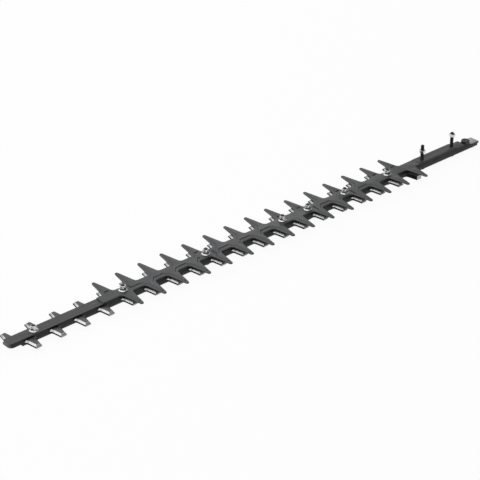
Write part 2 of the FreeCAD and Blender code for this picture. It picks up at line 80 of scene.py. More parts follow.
def linear(hex_colour):
    """Linear colour of an sRGB hex value."""
    channels = [int(hex_colour[i:i + 2], 16) / 255 for i in (1, 3, 5)]
    return tuple(c / 12.92 if c <= 0.04045 else ((c + 0.055) / 1.055) ** 2.4 for c in channels) + (1.0,)


def length(name, description, millimetres):
    limits = {"default": millimetres * MM, "min": 0, "precision": 5}
    return bpy.props.FloatProperty(name=name, description=description, unit="LENGTH", **limits)


def colour(name, description, hex_colour):
    limits = {"default": linear(hex_colour), "size": 4, "min": 0, "max": 1}
    return bpy.props.FloatVectorProperty(name=name, description=description, subtype="COLOR", **limits)


class CutterBarSizes(bpy.types.PropertyGroup):
    bar_edge: length("Bar edge", "Rounding of the guide bar's edges", 0.35)
    guard_edge: length("Guard edge", "Rounding of the pressed guard's lower edges and ribs", 0.3)
    guard_sheet: length("Guard sheet", "Thickness of the pressed guard's sheet", 1.7)
    guard_roll: length("Guard roll", "Rolled-over upper edge of the pressed guard's outline", 0.8)
    blade_edge: length("Blade edge", "Fine rounding of the blades' edges", 0.1)
    # The land's colour is painted shade.
    blade_land: length("Blade land", "Height of the land beside a tooth's ground bevel, coloured with painted shade", 1.05)
    tooth_tip: length("Tooth tip", "Depth of the teeth's dull ground ends", 2)
    bare_tang: length("Bare tang", "Bare steel at the ends of the blades' tangs", 16)
    nut_height: length("Nut height", "Height of the flange nuts", 7.2)
    nut_flat_height: length("Nut flat height", "Height of the flange nuts up to their collar", 5)
    nut_collar: length("Nut collar", "Diameter of the flange nuts' collar", 7.4)
    nut_flats: length("Nut flats", "Width over the flats of nuts and bolt heads", 8)
    flange_diameter: length("Flange", "Diameter of the nuts' flange", 11.8)
    flange_height: length("Flange height", "Height of the nuts' sloping flange", 2)
    flange_rim: length("Flange rim", "Height of the flange's upright rim", 0.8)
    head_height: length("Head height", "Height of the bolt heads", 2.5)
    bolt_diameter: length("Bolt diameter", "Thread diameter of bolts and screws", 5)
    thread_pitch: length("Thread pitch", "Pitch of the bolts' and screws' thread", 0.8)
    bolt_thread: length("Bolt thread", "Threaded end of the guide bolts", 8)
    screw_thread: length("Screw thread", "Threaded end of the mounting screws", 21.6)
    screw_nut_height: length("Screw nut height", "Height of the nuts on the mounting screws", 4)


class CutterBarColours(bpy.types.PropertyGroup):
    bar: colour("Guide bar", "Blackened steel of the guide bar", "#3b3b3c")
    # Painted shade: the bar's upright sides are coloured darker than its top.
    bar_edge: colour("Guide bar edges", "Darker sides of the guide bar: painted shade", "#1b1b1c")
    guard: colour("Guard", "Blackened sheet steel of the finger guard", "#3e3f41")
    # Painted shade: the guard's upright sides are coloured darker than its top.
    guard_edge: colour("Guard edges", "Darker sides of the finger guard: painted shade", "#343435")
    # Painted highlight: the guard's rolled edges are coloured paler than its sheet.
    guard_roll_highlight: colour("Rubbed edges", "Guard's rolled edges, coloured paler: painted highlight", "#4c4d4f")
    blade: colour("Blade skin", "Blackened skin of the blades", "#4e4e4e")
    # Painted shade: the blades' upright sides are coloured darker than their skin.
    blade_edge: colour("Blade edges", "Darker sides of the blades: painted shade", "#363637")
    ground: colour("Ground edges", "Freshly ground cutting bevels", "#d4d5d5")
    # Painted shade: the lower blade's ground bevels are coloured nearly black.
    lower_bevel_shade: colour("Lower ground edges", "Ground bevels of the lower blade, coloured dark: painted shade", "#303132")
    tooth_tip: colour("Tooth tips", "Dull ground ends of the teeth", "#b2b3b3")
    tang: colour("Bare tang", "Bare steel of the blades' tangs", "#c6c5c3")
    pin: colour("Drive pins", "Turned drive pins", "#4c4a47")
    bolt: colour("Bolts", "Black oxide of bolts and screws", "#141415")
    zinc: colour("Zinc", "Bright zinc of nuts and washers", "#cfd0d0")
    bush: colour("Bushes", "Turned steel of the guide bushes", "#8d8c8a")
    floor: colour("Floor", "Plain studio floor", "#f2f2f2")


def add_node(tree, kind, inputs=None, **settings):
    """Adds a node with its settings; an input is a value or the socket that feeds it."""
    node = tree.nodes.new(kind)
    for name, value in settings.items():
        setattr(node, name, value)
    for name, value in (inputs or {}).items():
        if isinstance(value, bpy.types.NodeSocket):
            tree.links.new(value, node.inputs[name])
        else:
            node.inputs[name].default_value = value
    return node


def per_mm(x, y, z):
    """Scale of a pattern whose lumps are that many millimetres long on each axis."""
    return 1 / (x * MM), 1 / (y * MM), 1 / (z * MM)


def new_material(name):
    material = bpy.data.materials.new(name)
    material.use_nodes = True
    tree = material.node_tree
    place = add_node(tree, "ShaderNodeTexCoord").outputs["Object"]
    return material, tree, tree.nodes["Principled BSDF"], place


def shade(tint, factor):
    return tuple(channel * factor for channel in tint[:3]) + (1.0,)


def blackened_steel(name, tint, shine):
    """Rolled steel, blackened and oiled."""
    # A satin grey-black skin: streaks along the rolling direction, cloudy oil marks and a fine tooth.
    material, tree, shader, place = new_material(name)
    along = add_node(tree, "ShaderNodeMapping", {"Vector": place, "Scale": per_mm(45, 1.2, 1.2)})
    streaks = add_node(tree, "ShaderNodeTexNoise", {"Vector": along.outputs[0], "Scale": 1, "Detail": 3})
    spread = add_node(tree, "ShaderNodeMapping", {"Vector": place, "Scale": per_mm(16, 11, 11)})
    clouds = add_node(tree, "ShaderNodeTexNoise", {"Vector": spread.outputs[0], "Scale": 1, "Detail": 4})
    both = {0: streaks.outputs[0], 1: clouds.outputs[0]}
    both = add_node(tree, "ShaderNodeMath", both, operation="MULTIPLY")
    share = {"Value": both.outputs[0], "From Min": 0.12, "From Max": 0.4}
    share = add_node(tree, "ShaderNodeMapRange", share)
    skin = {SHARE: share.outputs[0], DARK: shade(tint, 0.92), PALE: shade(tint, 1.08)}
    skin = add_node(tree, "ShaderNodeMix", skin, data_type="RGBA")
    tree.links.new(skin.outputs[MIXED], shader.inputs["Base Color"])
    gloss = {"Value": clouds.outputs[0], "From Min": 0.3, "From Max": 0.7, "To Min": 0.34, "To Max": 0.48}
    gloss = add_node(tree, "ShaderNodeMapRange", gloss)
    tree.links.new(gloss.outputs[0], shader.inputs["Roughness"])
    shader.inputs["Specular IOR Level"].default_value = shine
    # The tooth of the skin is a few hundredths of a millimetre; it is drawn coarser so that it shows.
    fine = add_node(tree, "ShaderNodeMapping", {"Vector": place, "Scale": per_mm(0.5, 0.5, 0.5)})
    tooth = add_node(tree, "ShaderNodeTexNoise", {"Vector": fine.outputs[0], "Scale": 1, "Detail": 2})
    bump = {"Height": tooth.outputs[0], "Strength": 0.2, "Distance": 0.04 * MM}
    bump = add_node(tree, "ShaderNodeBump", bump)
    tree.links.new(bump.outputs[0], shader.inputs["Normal"])
    return material


def ground_steel(name, tint, across, roughness):
    """Steel fresh from the grinding wheel."""
    # Bright metal with fine parallel scratches; across gives the scratch sizes in millimetres on each axis.
    material, tree, shader, place = new_material(name)
    shader.inputs["Metallic"].default_value = 1
    lines = add_node(tree, "ShaderNodeMapping", {"Vector": place, "Scale": per_mm(*across)})
    lines = add_node(tree, "ShaderNodeTexNoise", {"Vector": lines.outputs[0], "Scale": 1, "Detail": 4})
    metal = {SHARE: lines.outputs[0], DARK: shade(tint, 0.86), PALE: shade(tint, 1.1)}
    metal = add_node(tree, "ShaderNodeMix", metal, data_type="RGBA")
    tree.links.new(metal.outputs[MIXED], shader.inputs["Base Color"])
    gloss = {"Value": lines.outputs[0], "From Min": 0.25, "From Max": 0.75}
    gloss |= {"To Min": roughness - 0.07, "To Max": roughness + 0.07}
    gloss = add_node(tree, "ShaderNodeMapRange", gloss)
    tree.links.new(gloss.outputs[0], shader.inputs["Roughness"])
    bump = {"Height": lines.outputs[0], "Strength": 0.25, "Distance": 0.02 * MM}
    bump = add_node(tree, "ShaderNodeBump", bump)
    tree.links.new(bump.outputs[0], shader.inputs["Normal"])
    return material


def turned_steel(name, tint, centre, roughness):
    """Steel turned on a lathe."""
    # Rings of tool marks about the piece's own axis, drawn coarse enough to show, and slight browning.
    material, tree, shader, place = new_material(name)
    shader.inputs["Metallic"].default_value = 1
    middle = {"Vector": place, "Location": (centre.x, centre.y, 0)}
    middle = add_node(tree, "ShaderNodeMapping", middle, vector_type="TEXTURE")
    ring_gap, wave_rate = 0.35 * MM, 20
    ring_scale = 2 * math.pi / (wave_rate * ring_gap)
    ring = {"Vector": middle.outputs[0], "Scale": ring_scale, "Distortion": 0.6}
    ring = add_node(tree, "ShaderNodeTexWave", ring, wave_type="RINGS", rings_direction="Z")
    stain = add_node(tree, "ShaderNodeMapping", {"Vector": place, "Scale": per_mm(3, 3, 3)})
    stain = add_node(tree, "ShaderNodeTexNoise", {"Vector": stain.outputs[0], "Scale": 1, "Detail": 4})
    metal = {SHARE: stain.outputs[0], DARK: shade(tint, 0.7), PALE: shade(tint, 1.25)}
    metal = add_node(tree, "ShaderNodeMix", metal, data_type="RGBA")
    tree.links.new(metal.outputs[MIXED], shader.inputs["Base Color"])
    gloss = {"Value": stain.outputs[0], "To Min": roughness - 0.08, "To Max": roughness + 0.1}
    gloss = add_node(tree, "ShaderNodeMapRange", gloss)
    tree.links.new(gloss.outputs[0], shader.inputs["Roughness"])
    bump = {"Height": ring.outputs["Fac"], "Strength": 0.3, "Distance": 0.03 * MM}
    bump = add_node(tree, "ShaderNodeBump", bump)
    tree.links.new(bump.outputs[0], shader.inputs["Normal"])
    return material


def black_oxide(name, tint):
    """Black oxide on cold-formed bolts."""
    # Deep black with a soft oily gloss and small paler rubs.
    material, tree, shader, place = new_material(name)
    rub = add_node(tree, "ShaderNodeMapping", {"Vector": place, "Scale": per_mm(2.5, 2.5, 4)})
    rub = add_node(tree, "ShaderNodeTexNoise", {"Vector": rub.outputs[0], "Scale": 1, "Detail": 5})
    share = {"Value": rub.outputs[0], "From Min": 0.45, "From Max": 0.8}
    share = add_node(tree, "ShaderNodeMapRange", share)
    skin = {SHARE: share.outputs[0], DARK: tint, PALE: shade(tint, 3.5)}
    skin = add_node(tree, "ShaderNodeMix", skin, data_type="RGBA")
    tree.links.new(skin.outputs[MIXED], shader.inputs["Base Color"])
    gloss = {"Value": rub.outputs[0], "From Min": 0.3, "From Max": 0.7, "To Min": 0.28, "To Max": 0.42}
    gloss = add_node(tree, "ShaderNodeMapRange", gloss)
    tree.links.new(gloss.outputs[0], shader.inputs["Roughness"])
    return material


def bright_zinc(name, tint):
    """Bright zinc plating."""
    # Clean silvery metal, slightly clouded, with soft reflections.
    material, tree, shader, place = new_material(name)
    shader.inputs["Metallic"].default_value = 1
    cloud = add_node(tree, "ShaderNodeMapping", {"Vector": place, "Scale": per_mm(2, 2, 2)})
    cloud = add_node(tree, "ShaderNodeTexNoise", {"Vector": cloud.outputs[0], "Scale": 1, "Detail": 3})
    metal = {SHARE: cloud.outputs[0], DARK: shade(tint, 0.85), PALE: shade(tint, 1.12)}
    metal = add_node(tree, "ShaderNodeMix", metal, data_type="RGBA")
    tree.links.new(metal.outputs[MIXED], shader.inputs["Base Color"])
    gloss = {"Value": cloud.outputs[0], "From Min": 0.3, "From Max": 0.7, "To Min": 0.14, "To Max": 0.26}
    gloss = add_node(tree, "ShaderNodeMapRange", gloss)
    tree.links.new(gloss.outputs[0], shader.inputs["Roughness"])
    return material


def middle_of(node):
    """Point on a round piece's axis, at the height of the floor."""
    low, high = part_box(node)
    return Vector(((low.x + high.x) / 2, (low.y + high.y) / 2, 0))


def solid_copy(node):
    """The node's solid as one joined mesh with whole flat faces."""
    bm = bmesh.new()
    bm.from_mesh(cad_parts[node].data)
    bmesh.ops.remove_doubles(bm, verts=bm.verts, dist=SAME_PLACE)
    bmesh.ops.dissolve_limit(bm, angle_limit=FLAT, verts=bm.verts, edges=bm.edges)
    return bm


def upright(face):
    return abs(face.normal.z) < SIDE_RISE


def mark_sides(bm, index):
    """Gives upright faces a material of their own, all but those of the finished tip: a darker copy, which
    is painted shade on the sides.
    """
    tip = min(spot.co.x for spot in bm.verts) + TIP_END
    for face in bm.faces:
        at_tip = face.normal.x < -TIP_FACING and face.calc_center_median().x < tip
        if upright(face) and not at_tip:
            face.material_index = index


def finish_piece(name, bm, materials, body, slot, *nodes, sharp=35):
    """Makes a finished piece that moves with its body and stands for its solids."""
    mesh = bpy.data.meshes.new(name)
    bm.to_mesh(mesh)
    bm.free()
    for material in materials:
        mesh.materials.append(material)
    mesh.shade_smooth()
    mesh.set_sharp_from_angle(angle=math.radians(sharp))
    piece = bpy.data.objects.new(name, mesh)
    bpy.context.scene.collection.objects.link(piece)
    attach(piece, body)
    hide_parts(*nodes)
    return piece


def round_edges(piece, width, segments, angle=20):
    """Rounded edges whose flat neighbours stay flat to the light."""
    piece.data.set_sharp_from_angle(angle=math.pi)
    bevel = piece.modifiers.new("rounded edges", "BEVEL")
    bevel.width = width
    bevel.segments = segments
    bevel.limit_method = "ANGLE"
    bevel.angle_limit = math.radians(angle)
    bevel.harden_normals = True


def spin_profile(bm, centre, profile):
    """Turns pairs of radius and height about an upright axis; heights are counted from the centre."""
    spots = [bm.verts.new(centre + Vector((radius, 0, height))) for radius, height in profile]
    lines = [bm.edges.new(pair) for pair in zip(spots, spots[1:])]
    turn = {"cent": centre, "axis": UP, "angle": 2 * math.pi, "steps": ROUND_STEPS}
    bmesh.ops.spin(bm, geom=spots + lines, use_merge=True, **turn)


def close_mesh(bm):
    bmesh.ops.remove_doubles(bm, verts=bm.verts, dist=SAME_PLACE / 10)
    bmesh.ops.recalc_face_normals(bm, faces=bm.faces)


def hexagon_reach(angle, flats):
    """Distance from the axis to a hexagon's wall; two of its corners lie on the X axis."""
    side = math.radians(60)
    return flats / 2 / math.cos(angle % side - side / 2)


def hexagon(bm, centre, flats, low, high, bore, cut_low, cut_high):
    """Hexagon between two heights, its corners cut off by a cone at either end, and bored through."""
    cuts = 7
    ring = bmesh.ops.create_circle(bm, segments=6, radius=flats, matrix=Matrix.Translation(centre))
    edges = list({edge for spot in ring["verts"] for edge in spot.link_edges})
    bmesh.ops.subdivide_edges(bm, edges=edges, cuts=cuts)
    first = [edge for edge in bm.edges if not edge.link_faces and edge.is_wire]
    crown = 0.475 * flats
    slope = math.tan(math.radians(30))
    bore_edge = 0.08 * flats

    def settle(edges, radius, height):
        for spot in {spot for edge in edges for spot in edge.verts}:
            angle = math.atan2(spot.co.y - centre.y, spot.co.x - centre.x)
            reach = radius or hexagon_reach(angle, flats)
            drop = max(reach - crown, 0) * slope if not radius else 0
            if height == high:
                level = high - (drop if cut_high else 0)
            elif height == low:
                level = low + (drop if cut_low else 0)
            else:
                level = height
            spot.co = centre + Vector((reach * math.cos(angle), reach * math.sin(angle), level))

    settle(first, None, low)
    rings = [(None, high), (crown, high)]
    if bore:
        mouth = bore + bore_edge
        rings += [(mouth, high), (bore, high - bore_edge)]
        rings += [(bore, low + bore_edge), (mouth, low), (crown, low)]
    else:
        rings += [(crown / 4, high)]
    edges = first
    for radius, height in rings:
        made = bmesh.ops.extrude_edge_only(bm, edges=edges)["geom"]
        edges = [item for item in made if isinstance(item, bmesh.types.BMEdge) and item.is_boundary]
        settle(edges, radius, height)
    if bore:
        bmesh.ops.bridge_loops(bm, edges=edges + [edge for edge in first if edge.is_boundary])
    else:
        bmesh.ops.holes_fill(bm, edges=edges, sides=0)
        bmesh.ops.holes_fill(bm, edges=[edge for edge in first if edge.is_boundary], sides=0)


def threaded_rod(bm, centre, radius, pitch, low, high):
    """Rod with a screw thread between two heights and a tapered end."""
    depth = 0.6 * pitch
    crest_start, crest_end = 0.42, 0.58
    # Spare turns below and above are cut off flat.
    spare_below, spare = 1.5, 3
    rod = bmesh.new()
    turns = math.ceil((high - low) / pitch) + spare
    spots = []
    for turn in range(turns):
        level = low + (turn - spare_below) * pitch
        for share, inward in ((0, depth), (crest_start, 0), (crest_end, 0)):
            spots.append(rod.verts.new((radius - inward, 0, level + share * pitch)))
    lines = [rod.edges.new(pair) for pair in zip(spots, spots[1:])]
    steps = ROUND_STEPS // 2
    rise = Vector((0, 0, pitch / steps))
    turn = {"cent": (0, 0, 0), "axis": UP, "dvec": rise, "angle": 2 * math.pi, "steps": steps}
    bmesh.ops.spin(rod, geom=spots + lines, **turn)
    bmesh.ops.remove_doubles(rod, verts=rod.verts, dist=SAME_PLACE)
    for level, side in ((low, -1), (high, 1)):
        geom = list(rod.verts) + list(rod.edges) + list(rod.faces)
        plane = {"plane_co": (0, 0, level), "plane_no": (0, 0, side)}
        bmesh.ops.bisect_plane(rod, geom=geom, clear_outer=True, **plane)
    bmesh.ops.holes_fill(rod, edges=[edge for edge in rod.edges if edge.is_boundary], sides=0)
    taper = pitch
    for spot in rod.verts:
        most = radius - depth + min(high - spot.co.z, taper) / taper * depth
        reach = spot.co.xy.length
        if reach > most:
            spot.co.xy *= most / reach
    bmesh.ops.recalc_face_normals(rod, faces=rod.faces)
    bmesh.ops.translate(rod, verts=rod.verts, vec=centre)
    mesh = bpy.data.meshes.new("threaded rod")
    rod.to_mesh(mesh)
    rod.free()
    bm.from_mesh(mesh)
    bpy.data.meshes.remove(mesh)


def bolt(bm, sizes, centre, top, thread):
    """Bolt on its hexagon head, plain up to where its thread starts."""
    radius = sizes.bolt_diameter / 2
    hexagon(bm, centre, sizes.nut_flats, 0, sizes.head_height, bore=0, cut_low=True, cut_high=False)
    start = top - thread
    foot, neck, neck_radius = sizes.head_height / 2, start + sizes.thread_pitch, 0.8 * radius
    shank = [(0, foot), (radius, foot), (radius, start), (neck_radius, neck), (0, neck)]
    spin_profile(bm, centre, shank)
    threaded_rod(bm, centre, radius, sizes.thread_pitch, start, top)


class Piece:
    """What the operators of all pieces share."""
    bl_options = {"REGISTER", "UNDO"}

    @property
    def sizes(self):
        return bpy.context.scene.cutter_bar_sizes

    @property
    def colours(self):
        return bpy.context.scene.cutter_bar_colours


class MakeGuideBar(Piece, bpy.types.Operator):
    """Flat guide bar with lightly broken edges"""
    bl_idname = "cutter_bar.guide_bar"
    bl_label = "Guide Bar"

    def execute(self, context):
        steels = [
            blackened_steel("rolled bar steel, blackened", self.colours.bar, SATIN),
            # The sides get a darker, duller copy of the bar steel: painted shade.
            blackened_steel("bar sides, painted shade", self.colours.bar_edge, UPRIGHT_SHADE_SHINE),
        ]
        bm = solid_copy("guide_bar")
        mark_sides(bm, SHADED_UPRIGHTS)
        piece = finish_piece("bar_blank", bm, steels, "guide_bar", "bar_steel", "guide_bar")
        round_edges(piece, self.sizes.bar_edge, segments=2)
        return {"FINISHED"}


class MakeFingerGuard(Piece, bpy.types.Operator):
    """Pressed guard with soft edges on its fingers and ribs"""
    bl_idname = "cutter_bar.finger_guard"
    bl_label = "Finger Guard"

    def execute(self, context):
        steels = [
            blackened_steel("pressed sheet steel, blackened", self.colours.guard, SATIN),
            # The sides get a darker, duller copy of the sheet steel: painted shade.
            blackened_steel("guard sides, painted shade", self.colours.guard_edge, UPRIGHT_SHADE_SHINE),
            # The rolled edges get a paler copy of the sheet steel: painted highlight.
            blackened_steel("rolled sheet edges, painted highlight", self.colours.guard_roll_highlight, SATIN),
        ]
        bm = solid_copy("finger_guard")
        mark_sides(bm, SHADED_UPRIGHTS)
        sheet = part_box("finger_guard")[0].z + self.sizes.guard_sheet
        outline = [edge for edge in bm.edges if self.on_outline(edge, sheet)]
        roll = {"offset": self.sizes.guard_roll, "segments": 4, "profile": 0.5, "material": -1}
        rolled = bmesh.ops.bevel(bm, geom=outline, affect="EDGES", **roll)
        for face in rolled["faces"]:
            face.material_index = ROLLED
        piece = finish_piece("guard_pressing", bm, steels, "guide_bar", "guard_steel", "finger_guard")
        round_edges(piece, self.sizes.guard_edge, segments=3, angle=25)
        return {"FINISHED"}

    @staticmethod
    def on_outline(edge, sheet):
        """An edge between the sheet's flat top and its upright side."""
        level = all(abs(spot.co.z - sheet) < SAME_PLACE for spot in edge.verts)
        sides = [face for face in edge.link_faces if upright(face)]
        return level and len(sides) == 1 and edge.is_convex


class MakeBlades(Piece, bpy.types.Operator):
    """Two toothed blades: dark skin, ground bevels and a bare tang; the upper blade's bevels are bright,
    and the lower blade's are coloured nearly black with painted shade
    """
    bl_idname = "cutter_bar.blades"
    bl_label = "Blades"
    # Places of the finishes on a blade, after its skin; the sides and the tooth lands carry painted shade.
    BEVEL, BARE, SIDE, LAND, TIP = range(1, 6)

    def execute(self, context):
        tints = self.colours
        lengthwise, crosswise = (14, 0.35, 0.35), (6, 0.4, 6)
        skin = blackened_steel("blade steel, blackened", tints.blade, SATIN)
        bare = ground_steel("blade steel, bare", tints.tang, lengthwise, roughness=0.45)
        # The sides get a darker, duller copy of the skin: painted shade.
        sides = blackened_steel("blade sides, painted shade", tints.blade_edge, UPRIGHT_SHADE_SHINE)
        # The lands and the tooth flanks that face along the bar get the darkest colour with almost no
        # shine: painted shade.
        lands = blackened_steel("tooth lands, painted shade", tints.bar_edge, LAND_SHADE_SHINE)
        tips = ground_steel("tooth tips, ground and dulled", tints.tooth_tip, crosswise, roughness=0.45)
        bright = ground_steel("blade steel, ground", tints.ground, crosswise, roughness=0.36)
        # The lower blade's bevels are ground steel coloured nearly black: painted shade and a painted dark
        # reflection.
        dark = ground_steel(
            "blade steel, ground, painted shade", tints.lower_bevel_shade, crosswise, roughness=0.4)
        bevels = {"upper_blade": bright, "lower_blade": dark}
        for node, bevel in bevels.items():
            bm = solid_copy(node)
            bmesh.ops.dissolve_degenerate(bm, edges=bm.edges, dist=self.sizes.blade_edge)
            low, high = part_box(node)
            tang = high.x - self.sizes.bare_tang
            tip = high.y - self.sizes.tooth_tip
            # The blades meet at their lands: the upper one is ground from above, the lower one from below.
            faces_up = node == "upper_blade"
            land = low.z + self.sizes.blade_land if faces_up else high.z - self.sizes.blade_land
            for place, direction in (((tang, 0, 0), (1, 0, 0)), ((0, 0, land), UP)):
                geom = list(bm.verts) + list(bm.edges) + list(bm.faces)
                bmesh.ops.bisect_plane(bm, geom=geom, plane_co=place, plane_no=direction)
            for face in bm.faces:
                middle = face.calc_center_median()
                if SIDE_RISE < abs(face.normal.z) < FLAT_RISE:
                    face.material_index = self.BEVEL if (middle.z > land) == faces_up else self.LAND
                elif middle.x > tang:
                    face.material_index = self.BARE
            mark_sides(bm, self.SIDE)
            for face in bm.faces:
                if abs(face.calc_center_median().y) > tip:
                    face.material_index = self.TIP
                # Tooth flanks that face along the bar join the lands in their painted shade.
                elif face.material_index == self.SIDE and abs(face.normal.x) > FLANK_FACING:
                    face.material_index = self.LAND
            steels = [skin, bevel, bare, sides, lands, tips]
            piece = finish_piece(f"{node}_ground", bm, steels, node, "blade_steel", node)
            round_edges(piece, self.sizes.blade_edge, segments=1)
        return {"FINISHED"}


class MakeDrivePins(Piece, bpy.types.Operator):
    """Turned drive pins riveted into the tangs"""
    bl_idname = "cutter_bar.drive_pins"
    bl_label = "Drive Pins"

    def execute(self, context):
        for node, body in (("upper_drive_pin", "upper_blade"), ("lower_drive_pin", "lower_blade")):
            low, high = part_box(node)
            centre = middle_of(node)
            radius = (high.x - low.x) / 2
            blade_low, blade_high = (corner.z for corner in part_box(body))
            root, seat, end = blade_low, blade_high, high.z
            hangs = blade_low - low.z > high.z - blade_high
            if hangs:
                root, seat, end = blade_high, blade_low, low.z
            bm = bmesh.new()
            spin_profile(bm, centre, self.profile(radius, root, seat, end))
            close_mesh(bm)
            name = f"pin steel, turned, {body.replace('_', ' ')}"
            steel = turned_steel(name, self.colours.pin, centre, roughness=0.42)
            finish_piece(f"{node}_turned", bm, [steel], body, "pin_steel", node)
        return {"FINISHED"}

    @staticmethod
    def profile(radius, root, seat, end):
        """Riveted shank, then the pin from its seat on the blade to its dimpled end, with broken edges."""
        edge = 0.5 * MM
        rise = math.copysign(edge, end - seat)
        shank, rim, dimple = 0.52 * radius, 0.45 * radius, 0.38 * radius
        soft = 0.3
        foot = [(0, root), (shank, root), (shank, seat)]
        foot += [(radius - edge / 2, seat), (radius, seat + rise / 2)]
        head = [(radius, end - rise), (radius - soft * edge, end - soft * rise), (radius - edge, end)]
        return foot + head + [(rim, end), (dimple, end - soft * rise), (0, end - soft * rise)]


class MakeFlangeNuts(Piece, bpy.types.Operator):
    """Seven bright flange nuts"""
    bl_idname = "cutter_bar.flange_nuts"
    bl_label = "Flange Nuts"

    def execute(self, context):
        sizes = self.sizes
        bm = bmesh.new()
        bore = sizes.bolt_diameter / 2 + THREAD_PLAY
        low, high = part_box("flange_nuts")
        edge = 0.3 * MM
        rim, flange, height = sizes.flange_diameter / 2, sizes.flange_height, sizes.nut_height
        top, collar = sizes.nut_flat_height, sizes.nut_collar / 2
        for number, place in enumerate(BOLTS):
            # The first nut sits on the bar itself, the others on the guard.
            seat = low.z if number == 0 else high.z - height
            centre = middle_of(place) + UP * seat
            profile = [(bore, 0), (rim - edge, 0), (rim, edge), (rim, sizes.flange_rim)]
            profile += [(rim - edge, sizes.flange_rim + edge / 2), (sizes.nut_flats / 2, flange)]
            spin_profile(bm, centre, profile + [(bore, flange), (bore, 0)])
            hexagon(bm, centre, sizes.nut_flats, edge, top, bore, cut_low=False, cut_high=True)
            profile = [(bore, top - edge), (collar, top - edge), (collar, height - 2 * edge)]
            profile += [(collar - edge / 2, height - edge / 2), (collar - 2 * edge, height)]
            profile += [(bore + edge, height), (bore, height - edge), (bore, top - edge)]
            spin_profile(bm, centre, profile)
        close_mesh(bm)
        zinc = bright_zinc("nut steel, bright zinc", self.colours.zinc)
        finish_piece("flange_nuts_zinc", bm, [zinc], "guide_bar", "zinc_steel", "flange_nuts")
        return {"FINISHED"}


class MakeGuideBolts(Piece, bpy.types.Operator):
    """Tip bolt and six guide bolts with threaded ends"""
    bl_idname = "cutter_bar.guide_bolts"
    bl_label = "Guide Bolts"

    def execute(self, context):
        black = black_oxide("bolt steel, black oxide", self.colours.bolt)
        for node, places in (("tip_bolt", BOLTS[:1]), ("guide_bolts", BOLTS[1:])):
            bm = bmesh.new()
            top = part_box(node)[1].z
            for place in places:
                bolt(bm, self.sizes, middle_of(place), top, self.sizes.bolt_thread)
            close_mesh(bm)
            finish_piece(f"{node}_black", bm, [black], "guide_bar", "bolt_steel", node)
        return {"FINISHED"}


class MakeMountingScrews(Piece, bpy.types.Operator):
    """Two long black screws that carry the bar"""
    bl_idname = "cutter_bar.mounting_screws"
    bl_label = "Mounting Screws"

    def execute(self, context):
        bm = bmesh.new()
        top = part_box("mounting_screws")[1].z
        for place in SCREWS:
            bolt(bm, self.sizes, middle_of(place), top, self.sizes.screw_thread)
        close_mesh(bm)
        black = black_oxide("screw steel, black oxide", self.colours.bolt)
        finish_piece("mounting_screws_black", bm, [black], "guide_bar", "bolt_steel", "mounting_screws")
        return {"FINISHED"}


class MakeMountingNuts(Piece, bpy.types.Operator):
    """Two bright nuts near the tops of the mounting screws"""
    bl_idname = "cutter_bar.mounting_nuts"
    bl_label = "Mounting Nuts"

    def execute(self, context):
        sizes = self.sizes
        bm = bmesh.new()
        low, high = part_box("mounting_nuts")
        bore, height = sizes.bolt_diameter / 2 + THREAD_PLAY, sizes.screw_nut_height
        for place, seat in zip(SCREWS, (low.z, high.z - height)):
            centre = middle_of(place) + UP * seat
            hexagon(bm, centre, sizes.nut_flats, 0, height, bore, cut_low=True, cut_high=True)
        close_mesh(bm)
        zinc = bright_zinc("screw nut steel, bright zinc", self.colours.zinc)
        finish_piece("mounting_nuts_zinc", bm, [zinc], "guide_bar", "zinc_steel", "mounting_nuts")
        return {"FINISHED"}


class MakeWashers(Piece, bpy.types.Operator):
    """Nine plated washers under the heads"""
    bl_idname = "cutter_bar.washers"
    bl_label = "Washers"

    def execute(self, context):
        bm = bmesh.new()
        low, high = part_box("bolt_washers")
        edge, play = 0.2 * MM, 0.3 * MM
        outer, thick = (high.y - low.y) / 2, high.z - low.z
        inner = self.sizes.bolt_diameter / 2 + play
        profile = [(inner, edge), (inner + edge, 0), (outer - edge, 0), (outer, edge)]
        profile += [(outer, thick - edge), (outer - edge, thick), (inner + edge, thick)]
        profile += [(inner, thick - edge), (inner, edge)]
        for place in BOLTS + SCREWS:
            spin_profile(bm, middle_of(place) + UP * low.z, profile)
        close_mesh(bm)
        zinc = bright_zinc("washer steel, bright zinc", self.colours.zinc)
        finish_piece("bolt_washers_zinc", bm, [zinc], "guide_bar", "zinc_steel", "bolt_washers", sharp=60)
        return {"FINISHED"}


class MakeBushes(Piece, bpy.types.Operator):
    """Turned bushes that the blades slide on"""
    bl_idname = "cutter_bar.bushes"
    bl_label = "Guide Bushes"

    def execute(self, context):
        for node in BOLTS + SCREWS:
            name = f"bush steel, turned, {node.replace('_', ' ')}"
            steel = turned_steel(name, self.colours.bush, middle_of(node), roughness=0.35)
            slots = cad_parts[node].data.materials
            slots.clear()
            slots.append(steel)
        return {"FINISHED"}


